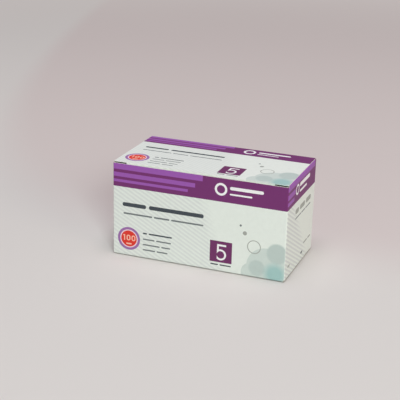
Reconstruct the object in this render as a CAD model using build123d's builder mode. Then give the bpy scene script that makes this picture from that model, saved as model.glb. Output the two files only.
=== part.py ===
from build123d import *
import os
from math import asin, atan, atan2, cos, degrees, hypot, pi, radians, sin, tan

# A folded paperboard carton with a tuck lid, packed with sealed pen needle units.
# Millimetres. +X runs along the carton, -Y is its front and +Z is up. The origin
# is the middle of the base.

# Needle unit: a moulded cover, wide at its mouth, with a peel-off tab over the mouth
flange_diameter = 14.6
flange_thickness = 1.2
base_diameter = 12.2
tip_diameter = 9.4
nose_diameter = 7.2
nose_height = 1.3
unit_length = 31.0
cover_flats = 9
tab_thickness = 0.15
tab_margin = 0.15
ear_tip_width = 2.4
ear_clearance = 1.0

# Packing: each unit stands upside down beside its neighbours, mouth beside tip
columns = 10
rows = 5
layers = 2
column_gap = 0.4
row_gap = 0.2
end_space = 0.45
tuck_space = 2.3
seam_clearance = 0.35
headspace = 5.4

# Paperboard and its creases
board = 0.45
crease_inside = 0.35
crease_land = 1.0

# Lid and tuck flap. The front wall stops short of the top of the lid, whose fold
# shows above it, and the flap's shoulders stop below the lid.
front_drop = 1.2
lid_side_gap = 0.5
tuck_gap = 0.15
tuck_side_gap = 0.4
tuck_depth = 15.0
tuck_spring = 1.0
tuck_corner = 7.0
slit_length = 9.5
slit_setback = 0.2
shoulder_gap = 1.0
hinge_edge_round = 0.3

# Dust flaps, which fold in from the ends under the lid
dust_length = 32.0
dust_clearance = 0.35
dust_shoulder = 10.0
dust_step = 1.6
dust_taper = 4.0
dust_corner = 5.0

# Glued seam and self-locking base
glue_width = 12.0
glue_slant = 6.0
base_seam_gap = 0.3
base_hook = 5.0
base_hook_run = 6.0

# Sizes that follow from the packing
column_pitch = (flange_diameter + tip_diameter) / 2 + column_gap
row_pitch = (flange_diameter + tip_diameter) / 2 + row_gap
seam_space = board + seam_clearance
length = (columns - 1) * column_pitch + flange_diameter + 2 * (end_space + board)
depth = (rows - 1) * row_pitch + flange_diameter + tuck_space + seam_space + 2 * board
floor_top = 2 * board
height = floor_top + layers * unit_length + headspace + 2 * board
first_row_y = -depth / 2 + board + tuck_space + flange_diameter / 2
first_column_x = -(columns - 1) * column_pitch / 2

# Levels and radii of the folded board
fold_radius = board + crease_inside
middle_radius = crease_inside + board / 2
wall_foot = board + fold_radius
lid_underside = height - board
dust_underside = lid_underside - board
end_fold_level = 1.5 * board
dust_fold_level = lid_underside - board / 2
end_wall_top = lid_underside - fold_radius
inside_length = length - 2 * board
straight_length = length - 2 * fold_radius
straight_depth = depth - 2 * fold_radius
crease_reach = fold_radius + crease_land

# The tuck flap leans in, so that it clears the front wall as the lid swings up
tuck_face = -depth / 2 + board + tuck_gap
hinge_reach = depth / 2 - tuck_face
lean = asin(tuck_depth / (2 * hinge_reach)) + radians(tuck_spring)
tuck_inset = board / cos(lean)
swing_in = hinge_reach * (1 - cos(lean))
dust_front = tuck_face + tuck_inset + swing_in + dust_clearance


# Walls: one strip folded round four corners. Its last fold tucks the glue flap in
# behind the free edge of the back wall.
wall_x = length / 2 - board / 2
wall_y = depth / 2 - board / 2
with BuildSketch() as wall_plan:
    with BuildLine():
        FilletPolyline(
            (-length / 2, wall_y),
            (wall_x, wall_y),
            (wall_x, -wall_y),
            (-wall_x, -wall_y),
            (-wall_x, 0),
            radius=middle_radius,
        )
    trace(line_width=board)
    with BuildLine():
        FilletPolyline(
            (-wall_x, 0),
            (-wall_x, wall_y - board),
            (-length / 2 + crease_reach, wall_y - board),
            radius=middle_radius,
        )
    trace(line_width=board)

glue_fold = -length / 2 + fold_radius
glue_outline = [
    (glue_fold, wall_foot),
    (glue_fold + glue_width, wall_foot + glue_slant),
    (glue_fold + glue_width, end_wall_top - glue_slant),
    (glue_fold, end_wall_top),
]

# Half of the base: a flap with slanted ends, whose free edge hooks past its twin
flap_start = -depth / 2 + fold_radius
near_edge = -base_hook - base_seam_gap / 2
far_edge = base_hook - base_seam_gap / 2
base_flap_outline = [
    (-straight_length / 2, flap_start),
    (straight_length / 2, flap_start),
    (straight_length / 2 - (near_edge - flap_start), near_edge),
    (base_hook_run / 2, near_edge),
    (-base_hook_run / 2, far_edge),
    (-straight_length / 2 + (far_edge - flap_start), far_edge),
]

# Dust flap of the right end, with a shoulder beside the slit of the lid
dust_back = depth / 2 - fold_radius
dust_fold = length / 2 - fold_radius
dust_tip = length / 2 - dust_length
dust_outline = [
    (dust_fold, dust_front),
    (length / 2 - dust_shoulder, dust_front),
    (length / 2 - dust_shoulder - dust_step, dust_front + dust_step),
    (dust_tip, dust_front + dust_step + dust_taper),
    (dust_tip, dust_back - dust_step - dust_taper),
    (dust_fold, dust_back),
]

with BuildPart() as carton:
    with BuildSketch(Plane.XY.offset(wall_foot)):
        add(wall_plan.sketch)
    extrude(amount=end_wall_top - wall_foot)

    # The front wall has a raw edge just below the top, the back wall one at the lid
    with BuildSketch(Plane.XY.offset(end_wall_top)):
        add(wall_plan.sketch)
        with Locations((0, -wall_y)):
            Rectangle(length, board, mode=Mode.INTERSECT)
    extrude(amount=height - front_drop - end_wall_top)
    with BuildSketch(Plane.XY.offset(end_wall_top)):
        add(wall_plan.sketch)
        with Locations((0, wall_y)):
            Rectangle(length, board, mode=Mode.INTERSECT)
    extrude(amount=lid_underside - end_wall_top)

    # Glue flap behind the back wall
    with BuildSketch(Plane.XZ.offset(board - depth / 2)):
        Polygon(*glue_outline, align=None)
    extrude(amount=board)

    # Base: the long walls fold under, over the flaps of the ends
    for side in (-1, 1):
        with BuildSketch(Plane.YZ):
            with BuildLine():
                FilletPolyline(
                    (side * wall_y, wall_foot + crease_land),
                    (side * wall_y, board / 2),
                    (side * (depth / 2 - crease_reach), board / 2),
                    radius=middle_radius,
                )
            trace(line_width=board)
        extrude(amount=straight_length / 2, both=True)
        with BuildSketch(Plane.XZ):
            with BuildLine():
                FilletPolyline(
                    (side * wall_x, wall_foot + crease_land),
                    (side * wall_x, end_fold_level),
                    (side * (length / 2 - crease_reach), end_fold_level),
                    radius=middle_radius,
                )
            trace(line_width=board)
        extrude(amount=straight_depth / 2, both=True)
    with BuildSketch(Plane.XY):
        with PolarLocations(0, 2):
            Polygon(*base_flap_outline, align=None)
    extrude(amount=board)
    with BuildSketch(Plane.XY.offset(board)):
        Rectangle(straight_length, depth - 2 * board)
    extrude(amount=board)

    # Dust flaps: the end walls fold in under the lid
    for side in (-1, 1):
        with BuildSketch(Plane.XZ.offset(-dust_front)):
            with BuildLine():
                FilletPolyline(
                    (side * wall_x, end_wall_top - crease_land),
                    (side * wall_x, dust_fold_level),
                    (side * (length / 2 - crease_reach), dust_fold_level),
                    radius=middle_radius,
                )
            trace(line_width=board)
        extrude(amount=dust_front - dust_back)
        with BuildSketch(Plane.XY.offset(dust_underside)):
            Polygon(*[(side * x, y) for x, y in dust_outline], align=None)
            fillet(vertices().sort_by(Axis.X)[0 if side > 0 else -1], dust_corner)
        extrude(amount=board)

carton.part.label = "carton"

# Lid: the panel, the bend along its middle and the tuck flap, as one folded sheet.
# It turns about the back edge at the level of its underside.
tuck_plane = Plane(
    origin=(0, tuck_face, height),
    x_dir=(1, 0, 0),
    z_dir=(0, -cos(lean), -sin(lean)),
)
panel_length = length - 2 * lid_side_gap
tuck_length = inside_length - 2 * tuck_side_gap
bend_length = panel_length - 2 * slit_length
bend_y = tuck_face + (board / 2) * (cos(lean) + tan(lean) * (1 + sin(lean)))
bend_z = height - board / 2
bend_leg = middle_radius * tan((pi / 2 + lean) / 2) + crease_land
bend_drop = (board / 2) * (1 + sin(lean)) / cos(lean) + bend_leg
shoulder_drop = (board + shoulder_gap) / cos(lean)
panel_front = tuck_face + slit_setback

with BuildPart() as lid:
    with BuildSketch(Plane.YZ):
        with BuildLine():
            FilletPolyline(
                (depth / 2, bend_z),
                (bend_y, bend_z),
                (bend_y + bend_leg * sin(lean), bend_z - bend_leg * cos(lean)),
                radius=middle_radius,
            )
        trace(line_width=board)
    extrude(amount=bend_length / 2, both=True)
    with BuildSketch(Plane.XY.offset(lid_underside)):
        with Locations((0, panel_front)):
            Rectangle(panel_length, depth / 2 - panel_front, align=(Align.CENTER, Align.MIN))
    extrude(amount=board)
    with BuildSketch(tuck_plane):
        with Locations((0, -shoulder_drop)):
            Rectangle(tuck_length, tuck_depth - shoulder_drop, align=(Align.CENTER, Align.MAX))
        fillet(vertices().group_by(Axis.Y)[0], tuck_corner)
        with Locations((0, -bend_drop)):
            Rectangle(bend_length, bend_drop, align=(Align.CENTER, Align.MIN), mode=Mode.SUBTRACT)
    extrude(amount=-board)
    hinge_edge = edges().filter_by(Axis.X).group_by(Axis.Z)[-1].sort_by(Axis.Y)[-1]
    fillet(hinge_edge, hinge_edge_round)

lid.part.label = "lid"

# Cover of one needle unit, moulded in one piece, mouth down
cover_length = unit_length - tab_thickness
body_length = cover_length - flange_thickness - nose_height
ear_direction = degrees(atan2(row_pitch, column_pitch))
flat_turn = ear_direction - 180 / cover_flats
to_flat = cos(pi / cover_flats)
body_taper = degrees(atan((base_diameter - tip_diameter) / 2 * to_flat / body_length))
nose_taper = degrees(atan((tip_diameter - nose_diameter) / 2 * to_flat / nose_height))

with BuildPart() as cover:
    with BuildSketch(Plane.XY.offset(tab_thickness)):
        RegularPolygon(flange_diameter / 2, cover_flats, rotation=flat_turn)
    extrude(amount=flange_thickness)
    with BuildSketch(Plane.XY.offset(tab_thickness + flange_thickness)):
        RegularPolygon(base_diameter / 2, cover_flats, rotation=flat_turn)
    extrude(amount=body_length, taper=body_taper)
    with BuildSketch(Plane.XY.offset(unit_length - nose_height)):
        RegularPolygon(tip_diameter / 2, cover_flats, rotation=flat_turn)
    extrude(amount=nose_height, taper=nose_taper)

# Peel-off tab, with an ear that reaches into the space between four units
tab_radius = flange_diameter / 2 - tab_margin
tab_flat = tab_radius * to_flat
tab_flat_width = 2 * tab_radius * sin(pi / cover_flats)
ear_reach = hypot(column_pitch, row_pitch) - tab_radius - ear_clearance
ear_outline = [
    (tab_flat, -tab_flat_width / 2),
    (ear_reach, -ear_tip_width / 2),
    (ear_reach, ear_tip_width / 2),
    (tab_flat, tab_flat_width / 2),
]

with BuildPart() as tab:
    with BuildSketch():
        RegularPolygon(tab_radius, cover_flats, rotation=flat_turn)
        with Locations(Location((0, 0, 0), (0, 0, ear_direction))):
            Polygon(*ear_outline, align=None)
    extrude(amount=tab_thickness)


def unit_place(layer, row, column):
    """Where a unit stands, and which way up."""
    x = first_column_x + column * column_pitch
    y = first_row_y + row * row_pitch
    z = floor_top + layer * unit_length
    if (row + column) % 2:
        return Location((x, y, z + unit_length), (180, 0, 0))
    return Location((x, y, z))


os.makedirs("parts", exist_ok=True)
export_step(carton.part, "parts/carton.step")
export_step(lid.part, "parts/lid.step")

# Each row of units is one group of covers and one of tabs
for layer in range(layers):
    for row in range(rows):
        places = [unit_place(layer, row, column) for column in range(columns)]
        with BuildPart() as row_covers:
            with Locations(*places):
                add(cover.part)
        with BuildPart() as row_tabs:
            with Locations(*places):
                add(tab.part)
        row_name = f"layer_{layer + 1}_row_{row + 1}"
        row_covers.part.label = f"{row_name}_covers"
        row_tabs.part.label = f"{row_name}_tabs"
        export_step(row_covers.part, f"parts/{row_name}_covers.step")
        export_step(row_tabs.part, f"parts/{row_name}_tabs.step")
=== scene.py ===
"""A printed paperboard carton of pen needles with a tuck lid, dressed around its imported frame.

Lengths are millimetres in the sizes and patterns, and metres in Blender. The front of the
carton faces -Y and its right end faces +X.
"""

import math

import bmesh
import bpy
from mathutils import Matrix, Vector


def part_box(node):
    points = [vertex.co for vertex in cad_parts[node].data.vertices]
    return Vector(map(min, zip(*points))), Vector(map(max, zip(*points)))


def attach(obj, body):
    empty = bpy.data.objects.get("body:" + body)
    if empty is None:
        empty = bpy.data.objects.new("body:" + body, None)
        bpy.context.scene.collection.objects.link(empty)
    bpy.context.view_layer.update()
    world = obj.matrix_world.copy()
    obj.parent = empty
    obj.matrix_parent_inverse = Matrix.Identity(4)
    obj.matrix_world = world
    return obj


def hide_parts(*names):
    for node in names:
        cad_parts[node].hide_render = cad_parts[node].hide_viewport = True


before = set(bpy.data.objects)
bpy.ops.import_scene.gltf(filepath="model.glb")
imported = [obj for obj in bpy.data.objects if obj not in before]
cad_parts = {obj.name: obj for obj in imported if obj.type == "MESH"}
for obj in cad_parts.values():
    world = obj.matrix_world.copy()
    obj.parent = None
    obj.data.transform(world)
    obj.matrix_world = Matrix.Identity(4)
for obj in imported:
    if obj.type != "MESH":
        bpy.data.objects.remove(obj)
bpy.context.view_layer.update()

# Carton: one blank of 0.45 mm folding board, printed in lithographic inks on its coated side,
# die cut, creased, folded and glued up inside the back wall. Its walls, base and dust flaps
# are the frame's own, and get the board, its inks and its creases here.

half_length, half_depth, wall_top = (1000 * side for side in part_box("carton")[1])
lid_top = 1000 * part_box("lid")[1][2]
board, crease_inside, front_drop = 0.45, 0.35, 1.2
fold_radius = board + crease_inside
front_top = lid_top - front_drop

# Depth of the coated skin in the board, and how far in from a wall's face the print reaches
skin_depth, print_reach = 0.2, 1.6

coated_white = "#e7ece5"
board_back = "#dcd6c8"
board_shade = "#cfc8b8"
board_core = "#ece8de"
band_purple = "#72256a"
stripe_purple = "#9a53ad"
square_purple = "#6d245f"
title_grey = "#3c444c"
note_grey = "#6f7678"
faint_grey = "#a3a69f"
hatch_grey = "#cfd2d1"
print_white = "#f3f1f2"
seal_red = "#e22d1c"
seal_lilac = "#9b69a9"
seal_pale = "#f0d3dc"
seal_peach = "#fbc2ab"
pale_teal = "#cfd9d3"
mid_teal = "#becbc6"
deep_teal = "#a3c6c3"


def linear(hex_colour):
    """An sRGB hex colour as linear RGBA."""
    parts = [int(hex_colour[i : i + 2], 16) / 255 for i in (1, 3, 5)]
    return [c / 12.92 if c <= 0.04045 else ((c + 0.055) / 1.055) ** 2.4 for c in parts] + [1.0]


def add_node(tree, kind, setting=None, *values, **named_values):
    """Adds a shader node with its settings and links.

    The setting is the name of an operation, or a dict of the node's properties. Values go
    to the node's inputs in order and then by name, each a number, a node or a socket.
    """
    node = tree.nodes.new("ShaderNode" + kind)
    settings = {"operation": setting} if isinstance(setting, str) else setting or {}
    for name, value in settings.items():
        setattr(node, name, value)
    inputs = [(node.inputs[i], value) for i, value in enumerate(values)]
    inputs += [(node.inputs[name.replace("_", " ")], value) for name, value in named_values.items()]
    for socket, value in inputs:
        if isinstance(value, bpy.types.Node):
            value = next(output for output in value.outputs if output.enabled)
        if isinstance(value, bpy.types.NodeSocket):
            tree.links.new(value, socket)
        else:
            socket.default_value = value
    return node


def new_material(name):
    """An empty material for a finish: itself, its tree, and a point's place in millimetres."""
    material = bpy.data.materials.new(name)
    material.use_nodes = True
    tree = material.node_tree
    for node in list(tree.nodes):
        if node.type != "OUTPUT_MATERIAL":
            tree.nodes.remove(node)
    in_metres = add_node(tree, "TexCoord").outputs["Object"]
    place = add_node(tree, "VectorMath", "SCALE", in_metres, Scale=1000.0)
    return material, tree, place


def box_distance(tree, point, u, v, width, height):
    """Distance of a point of the print from a rectangle, 0 inside it."""
    away = add_node(tree, "VectorMath", "SUBTRACT", point, (u, v, 0))
    away = add_node(tree, "VectorMath", "ABSOLUTE", away)
    away = add_node(tree, "VectorMath", "SUBTRACT", away, (width / 2, height / 2, 0))
    away = add_node(tree, "VectorMath", "MAXIMUM", away, (0, 0, 0))
    return add_node(tree, "VectorMath", "LENGTH", away)


def printed_shape(tree, point, kind, u, v, *sizes):
    """1 where a shape of the print covers the point, and 0 beside it.

    A bar has a width, a height and a corner radius, a loop a width, a height and a stroke,
    and a disc a radius. A wash is a disc with a soft rim, given its radius and the rim's
    width. A ring has a radius and a stroke, and an arc is the part of a ring past a u.
    """
    if kind == "bar":
        width, height, corner = sizes
        away = box_distance(tree, point, u, v, width - 2 * corner, height - 2 * corner)
        return add_node(tree, "Math", "LESS_THAN", away, corner)
    if kind == "loop":
        width, height, stroke = sizes
        away = box_distance(tree, point, u, v, max(width - height, 0), max(height - width, 0))
        middle = (min(width, height) - stroke) / 2
        return add_node(tree, "Math", "COMPARE", away, middle, stroke / 2)
    away = add_node(tree, "VectorMath", "DISTANCE", point, (u, v, 0))
    if kind == "disc":
        return add_node(tree, "Math", "LESS_THAN", away, sizes[0])
    if kind == "wash":
        radius, rim = sizes
        return add_node(tree, "MapRange", None, away, radius - rim, radius, 1.0, 0.0)
    ring = add_node(tree, "Math", "COMPARE", away, sizes[0], sizes[1] / 2)
    if kind == "arc":
        across = add_node(tree, "SeparateXYZ", None, point).outputs[0]
        past = add_node(tree, "Math", "GREATER_THAN", across, sizes[2])
        return add_node(tree, "Math", "MULTIPLY", ring, past)
    return ring


def lay_inks(tree, point, ground, inks):
    """Prints the inks over the ground colour, in order, each as a field of simple shapes."""
    for ink, shapes in inks:
        masks = [printed_shape(tree, point, *shape) for shape in shapes]
        cover = masks[0]
        for mask in masks[1:]:
            cover = add_node(tree, "Math", "MAXIMUM", cover, mask)
        ground = add_node(tree, "MixRGB", None, cover, ground, linear(ink))
    return ground


# The fine slanting lines: their fall across the panel, their spacing up it, and the width
# over which they thin out to nothing
hatch_slope, hatch_pitch, hatch_fade = 0.55, 3.05, 9.0


def lay_hatch(tree, point, ground, gap_ink, line_ink, edge_low, edge_high, top):
    """Fine slanting lines of pale grey, which thin out towards a slanting edge.

    The edge is at edge_low on the panel's foot and at edge_high at the height top.
    """
    u, v, _ = add_node(tree, "SeparateXYZ", None, point).outputs
    steps = add_node(tree, "Math", "MULTIPLY_ADD", u, hatch_slope, v)
    steps = add_node(tree, "Math", "DIVIDE", steps, hatch_pitch)
    lines = add_node(tree, "Math", "FRACT", steps)
    lines = add_node(tree, "Math", "LESS_THAN", lines, 0.5)
    ink = add_node(tree, "MapRange", None, lines, 0.0, 1.0, gap_ink, line_ink)
    edge = add_node(tree, "Math", "MULTIPLY_ADD", v, (edge_low - edge_high) / top, u)
    fade = add_node(tree, "MapRange", None, edge, edge_low - hatch_fade, edge_low, 1.0, 0.0)
    cover = add_node(tree, "Math", "MULTIPLY", ink, fade)
    return add_node(tree, "MixRGB", None, cover, ground, linear(hatch_grey))


# Corner radii of the fields and of the numbers' strokes, and how far fields bleed off a panel
sharp_corner, stroke_corner, bleed = 0.01, 0.05, 10.0


def field(left, right, low, high):
    """A field of ink between four edges."""
    return ("bar", (left + right) / 2, (low + high) / 2, right - left, high - low, sharp_corner)


def band_stripes(top, squeeze, edges):
    """Stripes that run in from the left, each with its edges below the top and its end."""
    return [
        field(-bleed, end, top - below * squeeze, top - above * squeeze)
        for above, below, end in edges
    ]


def word_row(u, v, height, widths):
    """A line of writing as plain rounded bars, one for each word, from a left end."""
    corner = 0.45 * height
    gap = 0.5 * height + 0.8
    bars = []
    for width in widths:
        bars.append(("bar", u + width / 2, v, width, height, corner))
        u += width + gap
    return bars


def plain_hundred(u, v, size):
    """A plain 100 of simple strokes, centred at a point, as tall as size."""
    stroke = 0.19 * size
    width = 0.7 * size
    return [
        ("bar", u - 0.98 * size, v + 0.36 * size, 0.26 * size, 0.16 * size, stroke_corner),
        ("bar", u - 0.86 * size, v, stroke, size, stroke_corner),
        ("loop", u - 0.15 * size, v, width, size, stroke),
        ("loop", u + 0.74 * size, v, width, size, stroke),
    ]


def plain_five(u, v, size):
    """A plain 5 of simple strokes, centred at a point, as tall as size."""
    stroke = 0.115 * size
    bowl = 0.29 * size
    return [
        ("bar", u + 0.03 * size, v + 0.4425 * size, 0.56 * size, stroke, stroke_corner),
        ("bar", u - 0.2 * size, v + 0.235 * size, stroke, 0.41 * size, stroke_corner),
        ("arc", u - 0.03 * size, v - 0.1525 * size, bowl, stroke, u - 0.26 * size),
    ]


# The height of the front's purple band: the lid's is lower, and what stands in it is squeezed
front_band = 16.9


def long_panel_inks(top, band, title_v, seal, note_rows, square, art):
    """The inks and shapes printed on a long panel, measured from its lower left corner.

    Given are the panel's top, the band's height, the height of the title, the centre of the
    seal, the heights of four rows of notes, the centre and size of the square with its
    number, and the lower left corner of the design of discs.
    """
    squeeze = band / front_band
    stripes = [(0.0, 4.3, 67.0), (6.5, 9.6, 61.6), (11.6, 13.6, 56.3)]
    head_band = [
        (band_purple, [field(-bleed, 2 * half_length + bleed, top - band, top + bleed)]),
        (stripe_purple, band_stripes(top, squeeze, stripes)),
        (
            print_white,
            [
                ("ring", 80.4, top - 8.0 * squeeze, 3.7, 1.6),
                ("bar", 98.8, top - 6.4 * squeeze, 24, 2.3, 1.15),
                ("bar", 94.8, top - 10.7 * squeeze, 16, 1.2, 0.6),
            ],
        ),
    ]

    art_u, art_v = art
    design = [
        (
            pale_teal,
            [
                ("disc", art_u + 17, art_v + 8, 14.5),
                ("disc", art_u + 5.5, art_v + 3, 6.8),
            ],
        ),
        (
            mid_teal,
            [
                ("wash", art_u + 24, art_v + 19.5, 8.0, 1.5),
                ("wash", art_u + 10, art_v + 7, 6.5, 1.5),
            ],
        ),
        (deep_teal, [("wash", art_u + 23, art_v + 4.5, 9.5, 5.0)]),
        (
            faint_grey,
            [
                ("ring", art_u + 7.5, art_v + 22, 4.6, 0.6),
                ("disc", art_u + 0.6, art_v + 31, 1.5),
            ],
        ),
        (note_grey, [("disc", art_u - 2.6, art_v + 36.2, 0.8)]),
    ]

    square_u, square_v, square_width, square_height = square
    caption_left, caption_v = square_u - 7.4, square_v - square_height / 2 - 1.9
    title_height = 2.9 * squeeze**2
    title = word_row(7.3, title_v, title_height, (18.0, 40.9))
    subtitle = word_row(8.0, title_v - 6.7, 1.2, (22.0, 11.6, 24.0))
    caption = word_row(caption_left, caption_v, 0.9, (5.6, 8.2))
    notes_left = 23.0
    first_note = word_row(notes_left, note_rows[0], 1.1, (3.2, 17.6))
    notes = []
    for v, widths in zip(note_rows[1:], [(9.0, 11.2), (13.0, 6.6), (9.5, 8.2)]):
        notes += word_row(notes_left, v, 1.0, widths)
    writing = [(title_grey, title + first_note + caption), (note_grey, subtitle + notes)]

    seal_u, seal_v = seal
    number = plain_hundred(seal_u + 0.3, seal_v + 0.6, 4.3)
    bar_below = ("bar", seal_u, seal_v - 3.9, 4.2, 1.1, 0.5)
    round_seal = [
        (seal_lilac, [("disc", seal_u, seal_v, 8.6)]),
        (seal_pale, [("disc", seal_u, seal_v, 6.8)]),
        (seal_red, [("disc", seal_u, seal_v, 6.0)]),
        (seal_peach, [*number, bar_below]),
    ]
    numbered_square = [
        (square_purple, [("bar", square_u, square_v, square_width, square_height, 0.3)]),
        (print_white, plain_five(square_u + 0.2, square_v - 0.4, 11.8)),
    ]
    return design + head_band + writing + round_seal + numbered_square


def end_panel_inks(top):
    """The inks and shapes printed on an end panel, measured from its lower left corner."""
    stripes = [(-bleed, 4.3, 64.5), (6.5, 10.1, 16.5), (11.9, 14.5, 14.5)]
    heading = [
        ("ring", 21.5, top - 8.6, 3.2, 1.4),
        ("bar", 39.5, top - 6.9, 25, 2.9, 1.4),
        ("bar", 36, top - 11.6, 17, 1.7, 0.8),
    ]
    title = word_row(19.2, 44.1, 3.6, (8.4, 12.4, 12.0))
    subtitle = word_row(19.4, 39.1, 0.9, (14.0, 9.0, 12.5))
    right_note = word_row(44.2, 12.6, 1.4, (9.5, 6.8))
    left_note = word_row(6.4, 8.6, 1.6, (5.2,))
    dark_note = word_row(38.4, 6.9, 1.7, (4.4,))
    return [
        (band_purple, [field(-bleed, 2 * half_depth + bleed, top - 17.4, top + bleed)]),
        (stripe_purple, band_stripes(top, 1, stripes)),
        (print_white, heading),
        (faint_grey, title),
        (note_grey, subtitle),
        (faint_grey, right_note + left_note),
        (title_grey, dark_note),
    ]


# Widths of the board's patterns: 7 clouds of fibre in 20 mm, and 3 waves of a panel in 100 mm.
# Single fibres and cracks in the ink are too fine to show, and are drawn coarser than they
# are, as 11 flecks and as 17 cracks in 10 mm.
cloud_width, wave_width = 20 / 7, 100 / 3
fleck_width, crack_width = 10 / 11, 10 / 17


def board_shader(tree, place, colour, skin, cut_edge, wear):
    """Coated folding board: a satin varnish over ink outside, matt fibre inside.

    The coated side is smooth, with a soft sheen at a glancing eye, the back is a little
    yellow, rough and flecked, the cut edge is pale, and ink cracks where wear is above 0.
    """
    formation = add_node(
        tree, "TexNoise", None, place, Scale=1 / cloud_width, Detail=4.0, Roughness=0.6
    )
    along_grain = add_node(tree, "VectorMath", "MULTIPLY", place, (1.0, 3.5, 1.6))
    fibres = add_node(
        tree, "TexNoise", None, along_grain, Scale=1 / fleck_width, Detail=5.0, Roughness=0.7
    )
    flecks = add_node(tree, "MapRange", None, fibres, 0.35, 0.7)
    inside = add_node(tree, "MixRGB", None, flecks, linear(board_shade), linear(board_back))
    inside = add_node(tree, "MixRGB", None, cut_edge, inside, linear(board_core))

    cracks = add_node(tree, "TexNoise", None, place, Scale=1 / crack_width, Detail=3.0)
    cracks = add_node(tree, "MapRange", None, cracks, 0.38, 0.62)
    worn = add_node(tree, "Math", "MULTIPLY", wear, cracks)
    outside = add_node(tree, "MixRGB", None, worn, colour, linear(board_core))
    tone = add_node(tree, "MapRange", None, formation, 0.3, 0.7, 0.98, 1.02)
    outside = add_node(tree, "VectorMath", "SCALE", outside, Scale=tone)
    shown = add_node(tree, "MixRGB", None, skin, inside, outside)

    varnish = add_node(tree, "MapRange", None, formation, 0.3, 0.7, 0.46, 0.54)
    roughness = add_node(tree, "MapRange", None, skin, 0.0, 1.0, 0.85, varnish)
    bareness = add_node(tree, "Math", "SUBTRACT", 1.15, skin)
    grain = add_node(tree, "Math", "MULTIPLY", fibres, bareness)
    waves = add_node(tree, "TexNoise", None, place, Scale=1 / wave_width, Detail=1.0)
    height = add_node(tree, "Math", "MULTIPLY_ADD", waves, 3.0, grain)
    bump = add_node(tree, "Bump", None, Strength=0.25, Distance=0.00006, Height=height)
    shader = add_node(
        tree, "BsdfPrincipled", None, Base_Color=shown, Roughness=roughness, IOR=1.5, Normal=bump
    )
    tree.links.new(shader.outputs[0], tree.nodes["Material Output"].inputs["Surface"])


def dress(node, material):
    """Gives a node of the frame its finish."""
    node.data.materials.clear()
    node.data.materials.append(material)


carton_board, tree, place = new_material("coated_folding_board_printed_carton")
x, y, z = add_node(tree, "SeparateXYZ", None, place).outputs
across = add_node(tree, "Math", "ABSOLUTE", x)
through = add_node(tree, "Math", "ABSOLUTE", y)
to_end = add_node(tree, "Math", "SUBTRACT", half_length, across)
to_long_wall = add_node(tree, "Math", "SUBTRACT", half_depth, through)
is_end = add_node(tree, "Math", "LESS_THAN", to_end, to_long_wall)

# Each wall's print runs from the left for someone who faces that wall
to_right = add_node(tree, "Math", "SIGN", x)
to_front = add_node(tree, "Math", "SIGN", y)
to_front = add_node(tree, "Math", "MULTIPLY", to_front, -1)
long_u = add_node(tree, "Math", "MULTIPLY_ADD", x, to_front, half_length)
long_point = add_node(tree, "CombineXYZ", None, long_u, z)
end_u = add_node(tree, "Math", "MULTIPLY_ADD", y, to_right, half_depth)
end_point = add_node(tree, "CombineXYZ", None, end_u, z)
long_print = lay_hatch(
    tree,
    long_point,
    linear(coated_white),
    gap_ink=0.05,
    line_ink=0.5,
    edge_low=86,
    edge_high=72,
    top=54,
)
long_print = lay_inks(
    tree,
    long_point,
    long_print,
    long_panel_inks(
        top=front_top,
        band=front_band,
        title_v=38.4,
        seal=(12.3, 12.9),
        note_rows=(18.6, 14.2, 10.1, 6.2),
        square=(81.7, 14.4, 16.2, 15.7),
        art=(98, 0),
    ),
)
end_print = lay_hatch(
    tree,
    end_point,
    linear(coated_white),
    gap_ink=0.0,
    line_ink=0.8,
    edge_low=58,
    edge_high=17,
    top=52,
)
end_print = lay_inks(tree, end_point, end_print, end_panel_inks(wall_top))
wall_print = add_node(tree, "MixRGB", None, is_end, long_print, end_print)

# How far out a point lies in the board, seen from the centres of the rounded folds
fold_x = add_node(tree, "Math", "SUBTRACT", across, half_length - fold_radius)
fold_y = add_node(tree, "Math", "SUBTRACT", through, half_depth - fold_radius)
behind_front = add_node(tree, "Math", "GREATER_THAN", y, fold_radius - half_depth)
over_top = add_node(tree, "Math", "SUBTRACT", z, wall_top - fold_radius)
over_top = add_node(tree, "Math", "MULTIPLY", over_top, behind_front)
below_base = add_node(tree, "Math", "SUBTRACT", fold_radius, z)
fold_z = add_node(tree, "Math", "MAXIMUM", below_base, over_top)
reach = add_node(tree, "CombineXYZ", None, fold_x, fold_y, fold_z)
reach = add_node(tree, "VectorMath", "MAXIMUM", reach, (0, 0, 0))
reach = add_node(tree, "VectorMath", "LENGTH", reach)
coated = add_node(tree, "Math", "GREATER_THAN", reach, fold_radius - skin_depth)

# The front wall's top is a cut edge, and shows the core of the board
front_edge_depth = 0.03
in_front = add_node(tree, "Math", "SUBTRACT", 1, behind_front)
at_top = add_node(tree, "Math", "GREATER_THAN", z, front_top - front_edge_depth)
front_edge = add_node(tree, "Math", "MULTIPLY", at_top, in_front)
off_edge = add_node(tree, "Math", "SUBTRACT", 1, front_edge)
skin = add_node(tree, "Math", "MULTIPLY", coated, off_edge)

# The dust flaps and the base carry no print
near_wall = add_node(tree, "Math", "MINIMUM", to_end, to_long_wall)
near_wall = add_node(tree, "Math", "LESS_THAN", near_wall, print_reach)
colour = add_node(tree, "MixRGB", None, near_wall, linear(coated_white), wall_print)

# Ink cracks a little at the corners, where three folds meet, and lets the pale core show
corner_start, corner_wear = 0.25, 0.6
wear = add_node(tree, "Math", "MINIMUM", fold_x, fold_y)
wear = add_node(tree, "Math", "MINIMUM", wear, fold_z)
wear = add_node(tree, "Math", "GREATER_THAN", wear, corner_start)
wear = add_node(tree, "Math", "MULTIPLY", wear, corner_wear)
board_shader(tree, place, colour, skin, front_edge, wear)
dress(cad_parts["carton"], carton_board)

# Lid: the top panel of the same blank, creased off the back wall, with a rounded tuck flap
# that is slit at both ends of its fold. Its sides and the slits are cut edges.

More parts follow.
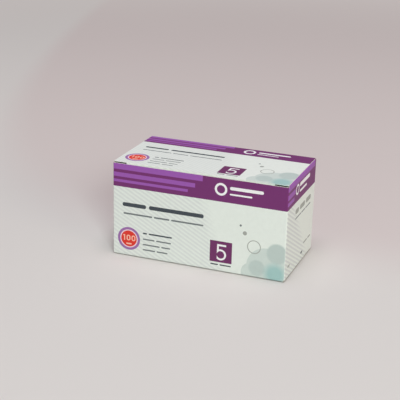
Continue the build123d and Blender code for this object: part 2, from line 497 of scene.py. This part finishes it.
lid_side_gap, tuck_gap, tuck_depth, tuck_spring = 0.5, 0.15, 15.0, 1.0
panel_half = half_length - lid_side_gap
tuck_face = board + tuck_gap - half_depth

# The tuck flap leans back from the front wall, and so clears it as the lid turns
lean = math.asin(tuck_depth / (2 * (half_depth - tuck_face))) + math.radians(tuck_spring)

lid_board, tree, place = new_material("coated_folding_board_printed_lid")
x, y, z = add_node(tree, "SeparateXYZ", None, place).outputs
lid_point = add_node(tree, "VectorMath", "ADD", place, (half_length, half_depth, 0))
lid_point = add_node(tree, "VectorMath", "MULTIPLY", lid_point, (1, 1, 0))
lid_print = lay_hatch(
    tree,
    lid_point,
    linear(coated_white),
    gap_ink=0.1,
    line_ink=0.4,
    edge_low=86,
    edge_high=74,
    top=54,
)
lid_print = lay_inks(
    tree,
    lid_point,
    lid_print,
    long_panel_inks(
        top=67.4,
        band=15.4,
        title_v=40.4,
        seal=(12.0, 14.6),
        note_rows=(20.2, 15.9, 11.2, 7.2),
        square=(82.8, 14.4, 16.4, 15.9),
        art=(98, 1),
    ),
)

# How far out a point lies in the board, seen from the centre of the tuck flap's fold
below_top = add_node(tree, "Math", "SUBTRACT", lid_top, z)
behind_tuck = add_node(tree, "VectorMath", "SUBTRACT", place, (0, tuck_face, lid_top))
tuck_normal = (0, math.cos(lean), math.sin(lean))
behind_tuck = add_node(tree, "VectorMath", "DOT_PRODUCT", behind_tuck, tuck_normal)
fold_z = add_node(tree, "Math", "SUBTRACT", fold_radius, below_top)
fold_y = add_node(tree, "Math", "SUBTRACT", fold_radius, behind_tuck)
reach = add_node(tree, "CombineXYZ", None, fold_y, fold_z)
reach = add_node(tree, "VectorMath", "MAXIMUM", reach, (0, 0, 0))
reach = add_node(tree, "VectorMath", "LENGTH", reach)
coated = add_node(tree, "Math", "GREATER_THAN", reach, fold_radius - skin_depth)

# The sides are cut edges, and the crease at the hinge is coated, as the back wall is
side_edge_depth, crease_depth = 0.02, 0.1
side_edge = add_node(tree, "Math", "ABSOLUTE", x)
side_edge = add_node(tree, "Math", "GREATER_THAN", side_edge, panel_half - side_edge_depth)
off_edge = add_node(tree, "Math", "SUBTRACT", 1, side_edge)
skin = add_node(tree, "Math", "MULTIPLY", coated, off_edge)
at_hinge = add_node(tree, "Math", "GREATER_THAN", y, half_depth - crease_depth)
skin = add_node(tree, "Math", "MAXIMUM", skin, at_hinge)

# The print covers the panel, and its ink cracks a little along the tuck flap's fold
fold_start, fold_wear = 0.2, 0.5
on_panel = add_node(tree, "Math", "LESS_THAN", below_top, fold_radius)
colour = add_node(tree, "MixRGB", None, on_panel, linear(coated_white), lid_print)
wear = add_node(tree, "Math", "MINIMUM", fold_y, fold_z)
wear = add_node(tree, "Math", "GREATER_THAN", wear, fold_start)
wear = add_node(tree, "Math", "MULTIPLY", wear, fold_wear)
board_shader(tree, place, colour, skin, side_edge, wear)
dress(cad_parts["lid"], lid_board)

# Needle covers: a hundred ribbed outer covers of injection moulded polypropylene, each with a
# flange at its mouth. They stand upright in two layers, every other one upside down.

columns, rows, layers = 10, 5, 2
column_gap, row_gap, tuck_space = 0.4, 0.2, 2.3
flange_radius, tip_radius, unit_length = 7.3, 4.7, 31.0
column_pitch = flange_radius + tip_radius + column_gap
row_pitch = flange_radius + tip_radius + row_gap
first_x = -(columns - 1) * column_pitch / 2
first_y = -half_depth + board + tuck_space + flange_radius
floor_top = 2 * board
rib_count, rib_depth = 24, 0.28

# Radius and height up the cover from its mouth, and how much of the ribs' depth is cut there
cover_profile = [
    (7.05, 0.15, 0),
    (flange_radius, 0.38, 0),
    (flange_radius, 1.12, 0),
    (7.1, 1.35, 0),
    (6.2, 1.36, 0),
    (6.08, 1.7, 0),
    (6.0, 2.6, 0),
    (5.96, 3.2, 1),
    (5.22, 20.2, 1),
    (5.2, 20.8, 0),
    (5.14, 22.0, 0),
    (4.95, 22.25, 0),
    (4.68, 29.0, 0),
    (4.5, 29.6, 0),
    (3.75, 29.9, 0),
    (3.5, 30.75, 0),
    (3.2, unit_length, 0),
]


def unit_transform(layer, row, column):
    """Where a needle unit stands, in metres, and which way up."""
    x = first_x + column * column_pitch
    y = first_y + row * row_pitch
    z = floor_top + layer * unit_length
    if (row + column) % 2:
        turn = Matrix.Rotation(math.pi, 4, "X")
        return Matrix.Scale(0.001, 4) @ Matrix.Translation((x, y, z + unit_length)) @ turn
    return Matrix.Scale(0.001, 4) @ Matrix.Translation((x, y, z))


def add_cover(mesh, transform):
    """One cover in a row's mesh: its profile turned about its axis, ribbed along the body."""
    around = 2 * rib_count
    rings = []
    for radius, height, ribbed in cover_profile:
        ring = []
        for i in range(around):
            r = radius - (rib_depth * ribbed if i % 2 else 0)
            angle = 2 * math.pi * i / around
            point = Vector((r * math.cos(angle), r * math.sin(angle), height))
            ring.append(mesh.verts.new(transform @ point))
        rings.append(ring)
    for low, high in zip(rings, rings[1:]):
        for i in range(around):
            j = (i + 1) % around
            mesh.faces.new((low[i], low[j], high[j], high[i]))
    mesh.faces.new(rings[0][::-1])
    mesh.faces.new(rings[-1])


def row_piece(name, layer, row, add_unit, material, smooth_angle):
    """One row of ten like parts as a piece, riding on the carton."""
    mesh = bmesh.new()
    for column in range(columns):
        add_unit(mesh, unit_transform(layer, row, column))
    data = bpy.data.meshes.new(name)
    mesh.to_mesh(data)
    mesh.free()
    data.polygons.foreach_set("use_smooth", [True] * len(data.polygons))
    data.set_sharp_from_angle(angle=math.radians(smooth_angle))
    data.materials.append(material)
    piece = bpy.data.objects.new(name, data)
    bpy.context.scene.collection.objects.link(piece)
    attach(piece, "carton")
    return piece


# Natural polypropylene: milky, softly lit from within, with the dull gloss of a mould. Its
# flow marks are 2 mm wide. The mould's grain is too fine to show, and is drawn coarser than
# it is, 6 grains to the millimetre.
flow_width, mould_grain = 2.0, 1 / 6
cover_plastic, tree, place = new_material("moulded_natural_polypropylene")
flow = add_node(tree, "TexNoise", None, place, Scale=1 / flow_width, Detail=3.0)
tint = add_node(tree, "MixRGB", None, flow, linear("#dde2e6"), linear("#e9ecee"))
grain = add_node(tree, "TexNoise", None, place, Scale=1 / mould_grain, Detail=2.0)
bump = add_node(tree, "Bump", None, Strength=0.15, Distance=0.00003, Height=grain)
gloss = add_node(tree, "MapRange", None, flow, 0.3, 0.7, 0.3, 0.38)
shader = add_node(
    tree,
    "BsdfPrincipled",
    None,
    Base_Color=tint,
    Roughness=gloss,
    IOR=1.49,
    Subsurface_Weight=0.2,
    Subsurface_Scale=0.002,
    Normal=bump,
)
tree.links.new(shader.outputs[0], tree.nodes["Material Output"].inputs["Surface"])

for layer in range(layers):
    for row in range(rows):
        node = f"layer_{layer + 1}_row_{row + 1}_covers"
        piece = row_piece(f"{node}_ribbed", layer, row, add_cover, cover_plastic, 30)
        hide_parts(node)

# Peel tabs: lacquered paper discs heat sealed over the mouth of each cover, with a small ear
# to pull. A flat tint is printed on them, and the sealing head leaves a ring pressed in.

tab_radius, ear_radius, ear_clearance = 7.15, 1.3, 1.0
tab_thickness, press_depth = 0.15, 0.04
ear_reach = math.hypot(column_pitch, row_pitch) - tab_radius - ear_clearance
ear_direction = math.atan2(row_pitch, column_pitch)
rim_steps, ear_steps = 32, 8
tab_tint = "#8a5a96"
tab_paper = "#eceae8"


def tab_outline():
    """Points round a tab: a circle drawn out on one side to a small round ear."""
    ear_centre = ear_reach - ear_radius
    touch = math.acos((tab_radius - ear_radius) / ear_centre)
    points = []
    for i in range(rim_steps + 1):
        angle = touch + 2 * (math.pi - touch) * i / rim_steps
        points.append((tab_radius * math.cos(angle), tab_radius * math.sin(angle)))
    for i in range(ear_steps + 1):
        angle = 2 * touch * i / ear_steps - touch
        points.append((ear_centre + ear_radius * math.cos(angle), ear_radius * math.sin(angle)))
    c, s = math.cos(ear_direction), math.sin(ear_direction)
    return [(c * px - s * py, s * px + c * py) for px, py in points]


def add_tab(mesh, transform):
    """One tab in a row's mesh: a thin plate with the pressed ring of the seal in its face."""
    outline = tab_outline()
    levels = [(1.0, 0.0), (0.86, 0.0), (0.84, press_depth), (0.74, press_depth), (0.72, 0.0)]
    rings = [
        [mesh.verts.new(transform @ Vector((px * s, py * s, depth))) for px, py in outline]
        for s, depth in levels
    ]
    back = [mesh.verts.new(transform @ Vector((px, py, tab_thickness))) for px, py in outline]
    count = len(outline)
    for outer, inner in zip(rings, rings[1:]):
        for i in range(count):
            j = (i + 1) % count
            mesh.faces.new((outer[j], outer[i], inner[i], inner[j]))
    for i in range(count):
        j = (i + 1) % count
        mesh.faces.new((rings[0][i], rings[0][j], back[j], back[i]))
    mesh.faces.new(rings[-1][::-1])
    mesh.faces.new(back)


# Heat seal paper: matt and fibrous, with a lacquer that gives it a slight sheen. Its pulp is
# too fine to show, and is drawn coarser than it is, 8 tufts in 5 mm.
pulp_width = 5 / 8
tab_finish, tree, place = new_material("lacquered_heat_seal_paper")
x, y, _ = add_node(tree, "SeparateXYZ", None, place).outputs
cell_x = add_node(tree, "Math", "SUBTRACT", x, first_x)
cell_x = add_node(tree, "Math", "WRAP", cell_x, column_pitch / 2, -column_pitch / 2)
cell_y = add_node(tree, "Math", "SUBTRACT", y, first_y)
cell_y = add_node(tree, "Math", "WRAP", cell_y, row_pitch / 2, -row_pitch / 2)
cell = add_node(tree, "CombineXYZ", None, cell_x, cell_y)
tab_inks = [(tab_tint, [("disc", 0, 0, 4.7)]), (tab_paper, [("ring", 0, 0, 3.2, 0.7)])]
tint = lay_inks(tree, cell, linear(tab_paper), tab_inks)
pulp = add_node(tree, "TexNoise", None, place, Scale=1 / pulp_width, Detail=5.0, Roughness=0.7)
speckle = add_node(tree, "MapRange", None, pulp, 0.3, 0.7, 0.94, 1.03)
toned = add_node(tree, "VectorMath", "SCALE", tint, Scale=speckle)
lacquer = add_node(tree, "MapRange", None, pulp, 0.3, 0.7, 0.5, 0.62)
bump = add_node(tree, "Bump", None, Strength=0.3, Distance=0.00005, Height=pulp)
shader = add_node(
    tree, "BsdfPrincipled", None, Base_Color=toned, Roughness=lacquer, IOR=1.47, Normal=bump
)
tree.links.new(shader.outputs[0], tree.nodes["Material Output"].inputs["Surface"])

for layer in range(layers):
    for row in range(rows):
        node = f"layer_{layer + 1}_row_{row + 1}_tabs"
        piece = row_piece(f"{node}_eared", layer, row, add_tab, tab_finish, 35)
        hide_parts(node)

# Table: a wide sheet of matt background paper, a pale grey with a painted pool of light before
# the carton and painted shade, slightly pinker and darker, behind it. The painted pool of light
# bows back on the left, and far off the paper melts into the tone of the room, so that no edge
# shows.

room_tone = "#c7bfbd"
# Painted light on the paper: the tone of the painted pool of light, and of the painted shade behind
# the carton
painted_lit_paper, painted_shade_paper = "#d5d1cd", "#d1c7c4"
paper_half, paper_drop = 2500.0, 0.5
melt_start, melt_end = 700.0, 1500.0
painted_pool_x, painted_pool_y, painted_pool_bow, painted_pool_fade = -100.0, 35.0, 0.0048, 60.0

paper, tree, place = new_material("matt_background_paper")
x, y, _ = add_node(tree, "SeparateXYZ", None, place).outputs
# The painted pool of light ends at a line behind the carton, which bows back on the left, and fades
# into the painted shade
aside = add_node(tree, "Math", "SUBTRACT", painted_pool_x, x)
aside = add_node(tree, "Math", "MAXIMUM", aside, 0)
bow = add_node(tree, "Math", "MULTIPLY", aside, aside)
behind_painted_pool = add_node(tree, "Math", "SUBTRACT", y, painted_pool_y)
beyond = add_node(tree, "Math", "MULTIPLY_ADD", bow, -painted_pool_bow, behind_painted_pool)
smooth = {"interpolation_type": "SMOOTHSTEP"}
fade = add_node(tree, "MapRange", smooth, beyond, -painted_pool_fade, painted_pool_fade)
shade = add_node(tree, "MixRGB", None, fade, linear(painted_lit_paper), linear(painted_shade_paper))
shader = add_node(tree, "BsdfPrincipled", None, Base_Color=shade, Roughness=0.9, IOR=1.45)
shader.inputs["Specular IOR Level"].default_value = 0.2
far_off = add_node(tree, "VectorMath", "LENGTH", place)
melt = add_node(tree, "MapRange", smooth, far_off, melt_start, melt_end)
seen = add_node(tree, "LightPath").outputs["Is Camera Ray"]
melt = add_node(tree, "Math", "MULTIPLY", melt, seen)
room_glow = add_node(tree, "Emission", None, linear(room_tone))
melted = add_node(tree, "MixShader", None, melt, shader, room_glow)
tree.links.new(melted.outputs[0], tree.nodes["Material Output"].inputs["Surface"])

# The sheet lies a hair below the base, so that the two faces never coincide
mesh = bmesh.new()
corners = [(-1, -1), (1, -1), (1, 1), (-1, 1)]
corners = [Vector((side * paper_half, end * paper_half, -paper_drop)) for side, end in corners]
mesh.faces.new([mesh.verts.new(corner / 1000) for corner in corners])
data = bpy.data.meshes.new("background_paper")
mesh.to_mesh(data)
mesh.free()
data.materials.append(paper)
table = bpy.data.objects.new("background_paper", data)
bpy.context.scene.collection.objects.link(table)

# Light: a large soft box overhead, a cooler one low ahead on the right beside the camera, which
# throws the soft shadow to the left and back, a weak warm one at the right end, and a dim room.

room = bpy.data.worlds.new("studio_room")
bpy.context.scene.world = room
room.use_nodes = True
tree = room.node_tree
tree.nodes.clear()
seen = add_node(tree, "LightPath").outputs["Is Camera Ray"]
around = add_node(tree, "Background", None, linear("#ffffff"), 0.25)
behind = add_node(tree, "Background", None, linear(room_tone), 1.0)
both = add_node(tree, "MixShader", None, seen, around, behind)
add_node(tree, "OutputWorld", None, both)


def soft_box(name, position, width, watts, colour):
    """A square studio lamp turned to the carton."""
    lamp = bpy.data.lights.new(name, "AREA")
    lamp.shape = "SQUARE"
    lamp.size = width
    lamp.energy = watts
    lamp.color = linear(colour)[:3]
    holder = bpy.data.objects.new(name, lamp)
    holder.location = position
    aim = Vector((0, 0, 0.035)) - Vector(position)
    holder.rotation_mode = "QUATERNION"
    holder.rotation_quaternion = aim.to_track_quat("-Z", "Y")
    bpy.context.scene.collection.objects.link(holder)


soft_box("soft_box_overhead", (0.1, -0.3, 2.8), 1.6, 44.2, "#fff8ff")
soft_box("soft_box_ahead", (1.44, -2.25, 1.36), 0.65, 39.2, "#eefffd")
soft_box("soft_box_right", (2.6, -1.2, 0.8), 1.2, 13.9, "#ffe1c8")

bpy.context.scene.view_settings.view_transform = "Standard"

# Camera: a long lens at the photograph's place, 0.8 m ahead of the carton, on its right and
# above it, turned a little on its own axis as the photograph is.

azimuth, elevation, roll = (math.radians(angle) for angle in (20.557, 19.837, 1.485))
distance, shift_right, shift_up = 0.801, -0.009554, 0.03644
focal_length, sensor = 99.29, 36.0

ahead = Vector(
    (
        -math.sin(azimuth) * math.cos(elevation),
        math.cos(azimuth) * math.cos(elevation),
        -math.sin(elevation),
    )
)
level = Vector((math.cos(azimuth), math.sin(azimuth), 0))
upright = level.cross(ahead)
right = math.cos(roll) * level + math.sin(roll) * upright
upward = math.cos(roll) * upright - math.sin(roll) * level
stand = -ahead * distance + right * shift_right + upward * shift_up
turn = Matrix((right, upward, -ahead)).transposed().to_4x4()
lens = bpy.data.cameras.new("camera")
lens.lens = focal_length
lens.sensor_width = sensor
lens.clip_start, lens.clip_end = 0.05, 20.0
camera = bpy.data.objects.new("camera", lens)
camera.matrix_world = Matrix.Translation(stand) @ turn
bpy.context.scene.collection.objects.link(camera)
bpy.context.scene.camera = camera
